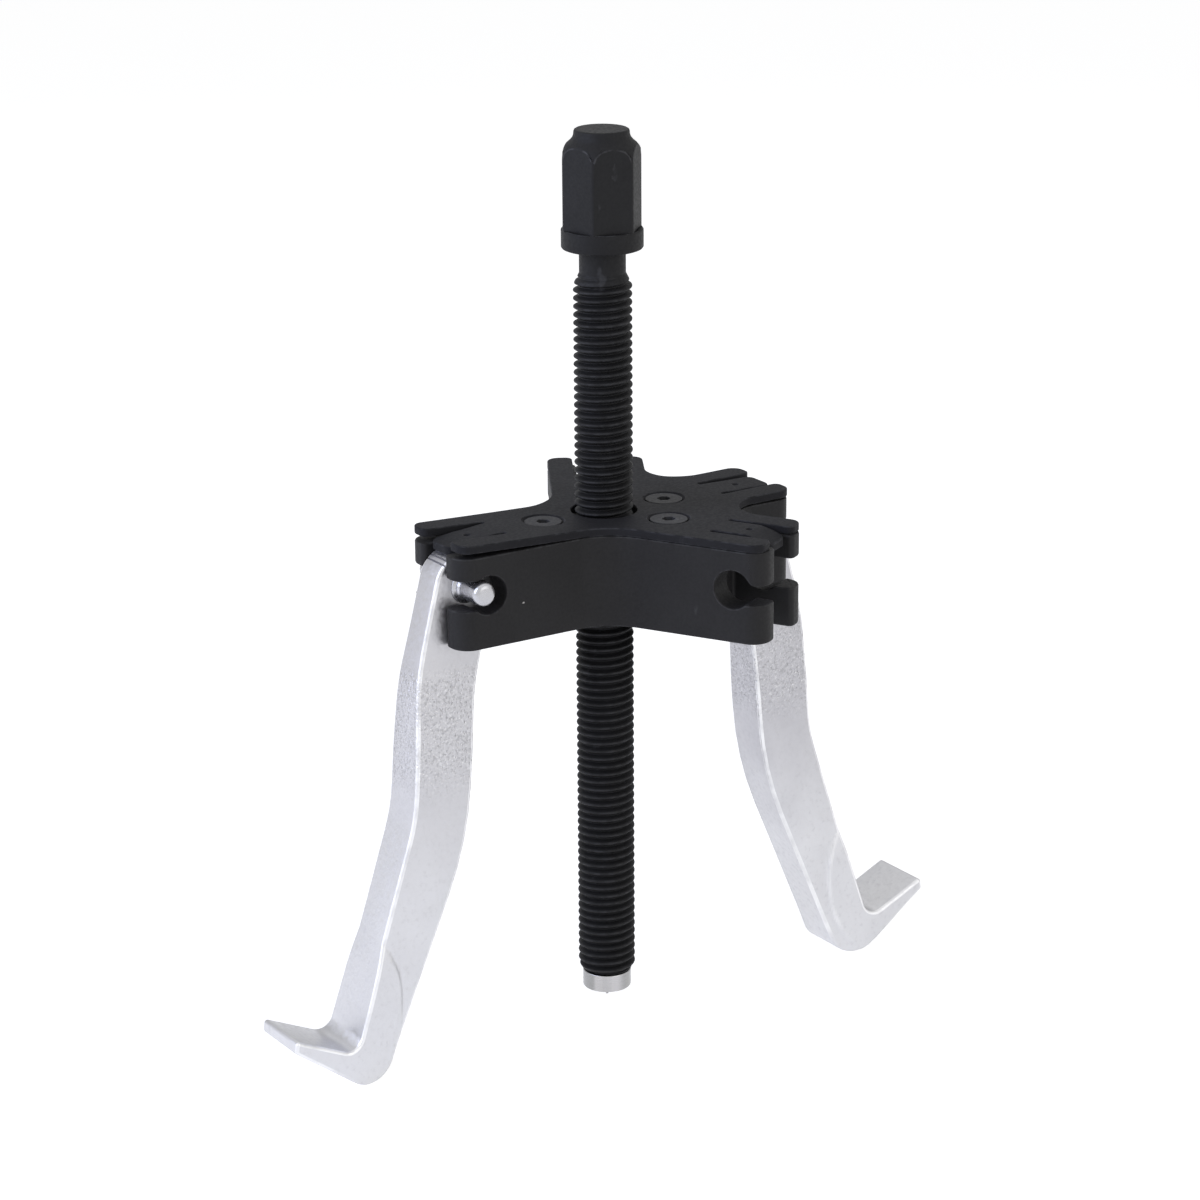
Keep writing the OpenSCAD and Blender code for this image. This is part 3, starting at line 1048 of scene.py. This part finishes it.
@dataclass
class Spindle:
    """The threaded spindle with its neck, flange, hexagon and tip socket."""

    finish: OxideFinish
    pitch: float = 2.0
    thread_start: float = 1.1
    end: float = 6.1
    end_r: float = 6.05
    end_slope: float = 0.62
    full_top: float = 180.1
    neck_bottom: float = 183.1
    neck_r: float = 5.55
    crest_r: float = 7.04
    crest_wear_and_highlight: float = 0.5
    crest_band: Point = (6.7, 7.0)
    hex_half: float = 8.5
    hex_bottom: float = 193.7
    hex_turn: float = 44.6
    hex_slab: Triple = (4.0, 20.0, 30.0)
    hex_edge: float = 0.22
    hex_margin: float = 0.1
    hex_edge_turn: float = 15.0
    socket_weld: float = 0.05
    steps: int = 36
    doublings: int = 7
    tooth: Profile = (
        (5.75, 0.0), (5.8, 0.16), (6.1, 0.34), (6.7, 0.6), (6.97, 0.78), (7.04, 1.0),
        (6.97, 1.22), (6.7, 1.4), (6.1, 1.66), (5.8, 1.84), (5.75, 2.0),
    )
    head: Profile = (
        (0, 183.1), (5.55, 183.1), (5.55, 188.2), (5.7, 188.7), (6.1, 188.9), (9.1, 188.9), (9.5, 189.05),
        (9.75, 189.4), (9.75, 193.4), (9.62, 193.6), (9.62, 210.8), (9.4, 212.0), (8.95, 213.0),
        (8.3, 213.8), (7.5, 214.5), (6.9, 215.2), (6.65, 215.9), (6.6, 216.6), (6.45, 217.0), (6.1, 217.2),
        (0, 217.2),
    )
    socket: Profile = (
        (3.85, 6.1), (3.55, 6.4), (3.55, 7.65), (4.05, 7.9), (4.05, 8.5), (3.55, 8.75), (3.55, 17.14),
        (0.01, 19.275),
    )

    def thread(self) -> BMesh:
        """Makes the threaded tube.

        Returns:
            Its mesh, open at both ends.
        """
        bm = bmesh.new()
        verts = [bm.verts.new((r, 0, z + self.thread_start)) for r, z in self.tooth]
        edges = [bm.edges.new(pair) for pair in zip(verts, verts[1:])]
        bmesh.ops.spin(
            bm, geom=[*verts, *edges], cent=Vector(), axis=UP, dvec=UP * (self.pitch / self.steps),
            angle=TURN, steps=self.steps,
        )
        for power in range(self.doublings):
            made = bmesh.ops.duplicate(bm, geom=[*bm.verts, *bm.edges, *bm.faces])
            copies = [v for v in made["geom"] if isinstance(v, BMVert)]
            bmesh.ops.translate(bm, vec=UP * (self.pitch * 2**power), verts=copies)
        for height, below in ((self.end, True), (self.neck_bottom, False)):
            bmesh.ops.bisect_plane(
                bm, geom=[*bm.verts, *bm.edges, *bm.faces], dist=WELD, plane_co=UP * height, plane_no=UP,
                clear_inner=below, clear_outer=not below,
            )
        bmesh.ops.remove_doubles(bm, verts=bm.verts, dist=MERGE)
        bmesh.ops.recalc_face_normals(bm, faces=bm.faces)
        # the thread crests get wear and a painted highlight through the rim attribute
        rim = bm.faces.layers.float.new(RIM)
        for face in bm.faces:
            face[rim] = self.crest_wear_and_highlight * ramp(face.calc_center_median().xy.length, *self.crest_band)
        slope = (self.crest_r - self.neck_r) / (self.neck_bottom - self.full_top)
        for vert in bm.verts:
            point = self.end_r + self.end_slope * (vert.co.z - self.end)
            limit = min(point, self.crest_r - slope * (vert.co.z - self.full_top))
            radius = vert.co.xy.length
            if radius > limit or vert.co.z < self.end + WELD:
                vert.co.xy *= limit / radius
        return bm

    def on_hexagon(self, edge: BMEdge) -> bool:
        """Tells the edges round the ends of the hexagon's flats from the others.

        Args:
            edge: An edge of the head.

        Returns:
            Whether it is one of them.
        """
        ends = [v.co for v in edge.verts]
        level = abs(ends[0].z - ends[1].z) < self.hex_half
        outside = min(end.xy.length for end in ends) > self.hex_half - self.hex_margin
        return level and outside and min(end.z for end in ends) > self.hex_bottom - NEAR

    def drive_head(self) -> BMesh:
        """Makes neck, flange and hexagon.

        Returns:
            Their mesh, open below.
        """
        head = lathe(self.head, steps=72)
        depth, _, height = self.hex_slab
        place = Matrix.Translation((self.hex_half + depth / 2, 0, self.hex_bottom + height / 2))
        sides = []
        for side in range(6):
            slab = bmesh.new()
            bmesh.ops.create_cube(slab, size=1.0)
            bmesh.ops.scale(slab, vec=Vector(self.hex_slab), verts=slab.verts)
            sides.append(moved(slab, arm_matrix(self.hex_turn + 30 + 60 * side) @ place))
        head = carved(head, sides)
        soften(head, self.hex_edge, segments=2, angle=self.hex_edge_turn, pick=self.on_hexagon)
        floor = [f for f in head.faces if all(v.co.z < self.neck_bottom + WELD for v in f.verts)]
        bmesh.ops.delete(head, geom=floor, context="FACES")
        return head

    def build(self) -> BMesh:
        """Makes the whole spindle.

        Returns:
            Its mesh.
        """
        whole = gather([self.thread(), self.drive_head()])
        rim = [e for e in whole.edges if e.is_boundary]
        neck = [e for e in rim if min(v.co.z for v in e.verts) > self.full_top]
        bmesh.ops.bridge_loops(whole, edges=neck)
        bmesh.ops.remove_doubles(whole, verts=whole.verts, dist=WELD)
        rim = [e for e in whole.edges if e.is_boundary]
        loop = [e for e in rim if max(v.co.z for v in e.verts) < self.end + NEAR]
        radius, height = self.end_r, self.end
        for ring_r, ring_z in self.socket:
            made = bmesh.ops.extrude_edge_only(whole, edges=loop)["geom"]
            ring = [v for v in made if isinstance(v, BMVert)]
            loop = [e for e in made if isinstance(e, BMEdge)]
            bmesh.ops.scale(whole, vec=Vector((ring_r / radius, ring_r / radius, 1)), verts=ring)
            bmesh.ops.translate(whole, vec=UP * (ring_z - height), verts=ring)
            radius, height = ring_r, ring_z
        bmesh.ops.remove_doubles(whole, verts=ring, dist=self.socket_weld)
        bmesh.ops.recalc_face_normals(whole, faces=whole.faces)
        return whole

    def dress(self) -> None:
        """Builds the spindle's piece with its finish."""
        piece("spindle_screw", self.build(), self.finish, "spindle", ["spindle"], crease=55.0, flat=True)


@dataclass
class PressureTip:
    """The bright swivel tip with its ball, and the ring that stays a CAD node."""

    finish: TurnedFinish
    ring_finish: OxideFinish
    profile: Profile = (
        (0, -1.5), (0.25, -1.4), (2.1, 1.1), (2.5, 1.3), (5.4, 1.3), (5.8, 1.42), (6.0, 1.75), (6.0, 5.5),
        (5.9, 5.7), (5.65, 5.8), (3.5, 5.8), (3.5, 7.7), (3.05, 7.95), (3.05, 8.45), (3.5, 8.7), (3.5, 11.5),
        (3.2, 11.8), (0, 11.8),
    )
    ball_r: float = 3.4
    ball_height: float = 15.25

    def ball(self) -> BMesh:
        """Makes the ball that the tip bears on.

        Returns:
            Its mesh.
        """
        ball = bmesh.new()
        bmesh.ops.create_icosphere(ball, subdivisions=4, radius=self.ball_r)
        return moved(ball, Matrix.Translation(UP * self.ball_height))

    def dress(self) -> None:
        """Builds the tip and its ball and gives the hidden ring its finish."""
        tip = lathe(self.profile, steps=72)
        piece("tip_button", tip, self.finish, "tip", ["pressure_tip"], crease=50.0, flat=True)
        piece("tip_ball", self.ball(), self.finish, "tip", ["thrust_ball"])
        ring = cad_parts["tip_ring"]
        dress(ring, self.ring_finish)
        LOG.info("tip_ring: CAD node with its own finish")


@dataclass(frozen=True)
class Rows:
    """Evenly spaced cuts across a mesh."""

    first: float
    step: float
    count: int

    def spots(self) -> list[float]:
        """Returns where the cuts lie."""
        return [self.first + self.step * i for i in range(self.count)]


@dataclass(frozen=True)
class Pad:
    """A raised round patch on one side of a leg's foot.

    Under its centre it keeps the share below of its roundness, and at the height
    foot its step has died out.
    """

    x: float
    z: float
    r: float
    below: float
    foot: float

    def inside(self, x: float, z: float) -> float:
        """Returns how far a spot lies inside the patch's edge."""
        height = (z - self.z) * (1.0 if z > self.z else self.below)
        return self.r - math.hypot(min(x - self.x, 0.0), height)


@dataclass
class Leg:
    """A hooked leg with its notched head, its flaring foot and its pins."""

    finish: ZincFinish
    pin_finish: ZincFinish
    arm: Arm
    pivot: Point = (41.3, 114.1)
    head_r: float = 8.2
    lean: float = 18.7
    corners: tuple[Triple, ...] = (
        (-1.4, -25.6, 6.0), (1.71, -63.3, 14.0), (27.6, -122.8, 9.2), (51.3, -105.4, 0.7),
        (50.9, -102.3, 1.2), (34.3, -109.9, 4.0), (16.2, -54.7, 6.0), (14.15, -22.0, 7.0),
    )
    head_half: float = 4.2
    shank_half: float = 6.2
    toe_half: float = 8.5
    taper: Point = (-8.0, -46.0)
    pads: tuple[Pad, Pad] = (Pad(45.0, -96.5, 23.3, 0.87, -140.0), Pad(43.4, -98.0, 22.3, 0.0, -108.0))
    flare: float = 15.0
    flare_power: float = 1.2
    edge: float = 0.8
    edge_turn: float = 50.0
    arc_piece: float = 5.0
    pad_step: float = 0.85
    pad_edge: Point = (-0.3, 0.8)
    pad_fade: Point = (-82.0, -93.0)
    crest_highlight: float = 0.5
    crest_line: float = 0.6
    crest_band: Point = (0.1, 0.8)
    crest_margin: float = 0.5
    foot_fade: float = 9.0
    shank_rows: tuple[float, ...] = (-2.0, -6.0, -10.0, *range(-16, -80, -6))
    foot_rows: Rows = Rows(-82.0, -1.4, 30)
    foot_columns: Rows = Rows(14.0, 1.4, 27)
    ridge_columns: Rows = Rows(18.0, 0.47, 32)
    ridge_rows: Rows = Rows(-83.0, -0.47, 84)
    notch: float = 0.6
    notch_ease: float = 0.1
    notch_reach: float = 8.0
    notches: tuple[int, ...] = tuple(range(-63, 64, 9))
    pin: Profile = (
        (0, 13.5), (1.6, 13.42), (2.1, 13.3), (2.5, 13.05), (2.78, 12.7), (2.92, 12.3), (2.95, 11.9),
        (2.95, 6.2), (3.02, 5.95), (3.3, 5.7), (3.35, 5.4), (3.1, 5.2),
        (3.1, 5.0), (3.9, 4.7), (4.2, 4.4), (4.2, 2.0), (0, 2.0),
    )

    def half(self, x: float, z: float, side: float) -> float:
        """Works out half the leg's thickness.

        Args:
            x: Distance outward from the pin.
            z: Height above the pin.
            side: Side of the leg, -1 or 1.

        Returns:
            Half the thickness there.
        """
        pad = self.pads[side > 0]
        plain = self.head_half + (self.shank_half - self.head_half) * ramp(z, *self.taper)
        reach, rise = min(x - pad.x, 0.0), max(z - pad.z, 0.0)
        out = min(max((pad.r - math.hypot(reach, rise)) / self.flare, 0.0), 1.0)
        step = self.pad_step * ramp(z, *self.pad_fade) * ramp(pad.inside(x, z), *self.pad_edge)
        step *= ramp(z, pad.foot, pad.foot + self.foot_fade)
        return plain + step * (1 - out) + (self.toe_half - self.shank_half) * out**self.flare_power

    def on_foot(self, spot: Vector) -> bool:
        """Returns whether a spot lies on the foot, where the mesh is fine."""
        return spot.x > self.foot_columns.first and spot.z < self.foot_rows.first

    def crest(self, spot: Vector) -> float:
        """Works out the painted highlight on the crest of a pad that is round below its centre too.

        Args:
            spot: A spot on the leg.

        Returns:
            The painted highlight there.
        """
        pad = self.pads[spot.y > 0]
        if not pad.below or spot.x > pad.x or abs(spot.y) < self.shank_half - self.crest_margin:
            return 0.0
        away = abs(pad.inside(spot.x, spot.z) - self.crest_line)
        return self.crest_highlight * (1 - ramp(away, *self.crest_band))

    def outline(self) -> Outline:
        """Draws the leg's side view.

        Returns:
            The outline.
        """
        outline = Outline(bmesh.new())
        outline.arc((0, 0), self.head_r, self.lean, self.lean + 180, steps=40)
        lean = math.radians(self.lean)
        end = self.head_r * Vector((math.cos(lean), math.sin(lean)))
        path = [-end, *(Vector(c[:2]) for c in self.corners), end]
        for before, corner, after, size in zip(path, path[1:], path[2:], (c[2] for c in self.corners)):
            back, on = (before - corner).normalized(), (after - corner).normalized()
            half = back.angle(on) / 2
            centre = corner + (back + on).normalized() * (size / math.cos(half))
            first = corner + back * size - centre
            turn = math.degrees(math.pi - 2 * half) * (1 if back.cross(on) < 0 else -1)
            start = math.degrees(math.atan2(first.y, first.x))
            steps = max(4, round(abs(turn) / self.arc_piece))
            outline.arc(tuple(centre), first.length, start, start + turn, steps)
        return outline

    def place(self) -> Matrix:
        """Returns the move from the pin to the leg's arm."""
        return on_arm(self.arm, *self.pivot)

    def tooth(self, angle: float) -> BMesh:
        """Makes the cutter for one notch of the head.

        Args:
            angle: The notch's place round the head, in degrees.

        Returns:
            The cutter.
        """
        tooth = Outline(bmesh.new(), self.lean + angle)
        half, over = self.notch + self.notch_ease, self.head_r + OVER
        tooth.point(0, self.head_r - self.notch)
        tooth.point(half, over)
        tooth.point(-half, over)
        return tooth.solid(-self.notch_reach, self.notch_reach, Plane.UPRIGHT)

    def build(self) -> BMesh:
        """Makes the leg without its pins.

        Returns:
            Its mesh.
        """
        leg = self.outline().solid(-self.shank_half, self.shank_half, Plane.UPRIGHT)
        soften(
            leg, self.edge, segments=4, angle=self.edge_turn,
            pick=lambda e: abs(e.verts[0].co.y - e.verts[1].co.y) < WELD,
        )
        leg = carved(leg, [gather(self.tooth(angle) for angle in self.notches)])
        slices(leg, self.shank_rows, UP)
        slices(leg, self.foot_rows.spots(), UP)
        slices(leg, self.foot_columns.spots(), OUT, self.on_foot)
        slices(leg, self.ridge_columns.spots(), OUT, self.on_foot)
        slices(leg, self.ridge_rows.spots(), UP, self.on_foot)
        for vert in leg.verts:
            side = math.copysign(1.0, vert.co.y)
            vert.co.y += side * (self.half(vert.co.x, vert.co.z, side) - self.shank_half)
        # the pads' crests get a painted highlight in the rim attribute
        rim = leg.faces.layers.float[RIM]
        for face in leg.faces:
            face[rim] = max(face[rim], self.crest(face.calc_center_median()))
        return moved(leg, self.place())

    def pins(self) -> BMesh:
        """Makes the two pins with their collars.

        Returns:
            Their mesh.
        """
        turns = [Matrix.Rotation(side * math.pi / 2, 4, "X") for side in (-1, 1)]
        return gather(moved(lathe(self.pin, steps=48), self.place() @ turn) for turn in turns)

    def dress(self) -> None:
        """Builds the leg and its pins with their finish."""
        body = f"{self.arm.name}_leg"
        piece(f"{self.arm.name}_hook", self.build(), self.finish, body, [body], crease=45.0)
        piece(f"{self.arm.name}_pins", self.pins(), self.pin_finish, body, [body], crease=50.0, flat=True)


@dataclass(frozen=True)
class Lamp:
    """A soft square lamp that looks at the middle of the part."""

    name: str
    azimuth: float
    elevation: float
    distance: float
    size: float
    power: float
    colour: Triple = (1.0, 1.0, 1.0)

    def build(self, target: Vector) -> None:
        """Hangs the lamp.

        Args:
            target: The point that it looks at, in metres.
        """
        data = bpy.data.lights.new(self.name, "AREA")
        data.shape = "SQUARE"
        data.size = self.size
        data.energy = self.power
        data.color = self.colour
        obj = put(self.name, data)
        a, e = math.radians(self.azimuth), math.radians(self.elevation)
        away = Vector((math.sin(a) * math.cos(e), -math.cos(a) * math.cos(e), math.sin(e)))
        obj.location = target + away * self.distance
        obj.rotation_mode = "QUATERNION"
        obj.rotation_quaternion = (-away).to_track_quat("-Z", "Y")


@dataclass
class Studio:
    """White floor, soft lamps and the camera at the photograph's angle."""

    floor_z: float = -4.9
    floor_half: float = 6.0
    floor_grey: float = 0.85
    floor_glow: float = 0.62
    ambient: float = 0.42
    far_from: Point = (0.1, 0.8)
    far_dim: float = 0.47
    plate_top: float = 125.0
    azimuth: float = -32.8
    elevation: float = 17.8
    distance: float = 884.7
    focal: float = 3685.0
    roll: float = 0.0069
    aim: Point = (604.0, 509.0)
    image: float = 1200.0
    sensor: float = 36.0
    clip: Point = (0.01, 50.0)
    lamp_target: Triple = (0.0, 0.0, 0.1)
    lamps: tuple[Lamp, ...] = (
        Lamp("key_lamp", 262, 28, 0.8, 0.6, 3.3, (0.66, 0.73, 1.0)),
        Lamp("fill_lamp", 15, 22, 1.0, 0.7, 1.3, (1.0, 0.99, 0.97)),
        Lamp("top_lamp", 327, 84, 0.9, 0.8, 0.4),
        Lamp("back_lamp", 150, 38, 1.0, 0.7, 0.55),
    )

    def floor(self) -> None:
        """Lays the white floor, which glows for the camera and keeps the shadow."""
        bm = bmesh.new()
        bmesh.ops.create_grid(bm, x_segments=1, y_segments=1, size=self.floor_half)
        bmesh.ops.translate(bm, vec=UP * self.floor_z * MM, verts=bm.verts)
        mesh = to_mesh(bm, "floor")
        material = bpy.data.materials.new("white_floor")
        material.use_nodes = True
        wires = Wires(material.node_tree)
        wires.tree.nodes.clear()
        diffuse, glow = wires.add("BsdfDiffuse"), wires.add("Emission")
        both, out = wires.add("AddShader"), wires.add("OutputMaterial")
        diffuse.inputs["Color"].default_value = (self.floor_grey, self.floor_grey, self.floor_grey, 1.0)
        wires.feed(glow.inputs["Strength"], self.seen(wires, 0.0, self.floor_glow))
        wires.feed(both.inputs[0], diffuse.outputs["BSDF"])
        wires.feed(both.inputs[1], glow.outputs["Emission"])
        wires.feed(out.inputs["Surface"], both.outputs["Shader"])
        mesh.materials.append(material)
        put("floor", mesh)

    def seen(self, wires: Wires, plain: float, direct: float) -> Socket:
        """Makes a strength that differs for what the camera, gloss and glass see.

        Args:
            wires: The nodes that take it.
            plain: Strength for diffuse light.
            direct: Strength for camera, glossy and transmission rays.

        Returns:
            The strength.
        """
        path = wires.add("LightPath")
        value = path.outputs["Is Camera Ray"]
        for name in ("Is Glossy Ray", "Is Transmission Ray"):
            value = wires.maths("MAXIMUM", value, path.outputs[name])
        return wires.span(value, 0.0, 1.0, plain, direct, smooth=False)

    def far_side(self, wires: Wires) -> Socket:
        """Dims the back of the studio in reflections.

        Args:
            wires: The world's nodes.

        Returns:
            The world's grey level.
        """
        facing = wires.add("VectorMath")
        facing.operation = "DOT_PRODUCT"
        facing.inputs[1].default_value = arm_matrix(self.azimuth) @ Vector((0, 1, 0))
        wires.feed(facing.inputs[0], wires.add("TexCoord").outputs["Generated"])
        dim = wires.span(facing.outputs["Value"], *self.far_from, 0.0, self.far_dim, smooth=False)
        glossy = wires.add("LightPath").outputs["Is Glossy Ray"]
        return wires.maths("SUBTRACT", 1.0, wires.times(dim, glossy))

    def sky(self) -> None:
        """Makes the world white where it is seen and softer where it lights."""
        world = bpy.data.worlds.new("studio")
        world.use_nodes = True
        wires = Wires(world.node_tree)
        back = wires.tree.nodes["Background"]
        wires.feed(back.inputs["Strength"], self.seen(wires, self.ambient, 1.0))
        wires.feed(back.inputs["Color"], self.far_side(wires))
        bpy.context.scene.world = world

    def camera(self) -> None:
        """Sets the camera where the photograph was taken from."""
        e, roll = math.radians(self.elevation), self.roll
        right, up = Vector((1, 0, 0)), Vector((0, math.sin(e), math.cos(e)))
        ahead = Vector((0, math.cos(e), -math.sin(e)))
        side = math.cos(roll) * right - math.sin(roll) * up
        top = math.sin(roll) * right + math.cos(roll) * up
        shift = [(spot - self.image / 2) / self.focal * self.distance for spot in self.aim]
        eye = -(self.distance * ahead + shift[0] * side - shift[1] * top)
        frame_axes = Matrix((side, top, -ahead)).transposed().to_4x4()
        turn = Matrix.Translation((0, 0, self.plate_top)) @ arm_matrix(self.azimuth)
        place = turn @ Matrix.Translation(eye) @ frame_axes
        place.translation *= MM
        data = bpy.data.cameras.new("camera")
        data.sensor_width = self.sensor
        data.lens = self.focal / self.image * self.sensor
        data.clip_start, data.clip_end = self.clip
        obj = put("camera", data)
        obj.matrix_world = place
        bpy.context.scene.camera = obj

    def build(self) -> None:
        """Makes the whole studio."""
        bpy.context.scene.view_settings.view_transform = "Standard"
        self.camera()
        self.floor()
        self.sky()
        for lamp in self.lamps:
            lamp.build(Vector(self.lamp_target))


CHIP = (-30.4, -12.0, 110.1)
BLOCK_BLACK = OxideFinish(
    "block_black", "black_yoke", (0.017, 0.0165, 0.0175), (0.021, 0.0205, 0.0215), (0.06, 0.06, 0.063),
    chip=CHIP,
)
PLATE_BLACK = OxideFinish(
    "plate_black", "black_plate", (0.018, 0.018, 0.0205), (0.023, 0.023, 0.026), (0.07, 0.07, 0.077),
    roughness=(0.55, 0.66), gloss=0.1, scuff_share=0.2,
)
SPINDLE_BLACK = OxideFinish(
    "spindle_black", "black_spindle", (0.011, 0.011, 0.012), (0.015, 0.015, 0.0165), (0.085, 0.085, 0.092),
    scuff_limit=0.66,
)
SCREW_GREY = OxideFinish(
    "screw_grey", "grey_screw", (0.045, 0.045, 0.048), (0.06, 0.06, 0.063), (0.16, 0.16, 0.17), gloss=0.15,
)
LEG_ZINC = ZincFinish(
    "leg_zinc", "zinc_leg", (0.54, 0.535, 0.555), (0.66, 0.66, 0.68), (0.88, 0.88, 0.89),
)
# the right leg's zinc, darker and shaded higher up: painted shade
SHADED_ZINC = replace(
    LEG_ZINC, name="shaded_zinc", dull=(0.49, 0.485, 0.51), shaded_from=74.0, lit_from=16.0,
)
PIN_ZINC = ZincFinish(
    "pin_zinc", "zinc_leg", (0.5, 0.5, 0.52), (0.6, 0.6, 0.62), (0.8, 0.8, 0.8), roughness=(0.2, 0.32),
    grain_depth=0.03, pit_top=20.0, pit_bottom=-40.0,
)
TIP_BRIGHT = TurnedFinish("tip_bright", "bright_steel", (0.52, 0.51, 0.515), (0.34, 0.34, 0.34))


def main() -> None:
    """Builds the studio and the part.
    """
    logging.basicConfig(level=logging.INFO, format="%(name)s %(message)s")
    Studio().build()
    Yoke(BLOCK_BLACK).dress()
    SpringPlate(PLATE_BLACK).dress()
    PlateScrews(SCREW_GREY).dress()
    Spindle(SPINDLE_BLACK).dress()
    PressureTip(TIP_BRIGHT, SCREW_GREY).dress()
    for arm in ARMS:
        if arm.fitted:
            Leg(SHADED_ZINC if arm.name == "right" else LEG_ZINC, PIN_ZINC, arm).dress()


if __name__ == "__main__":
    main()
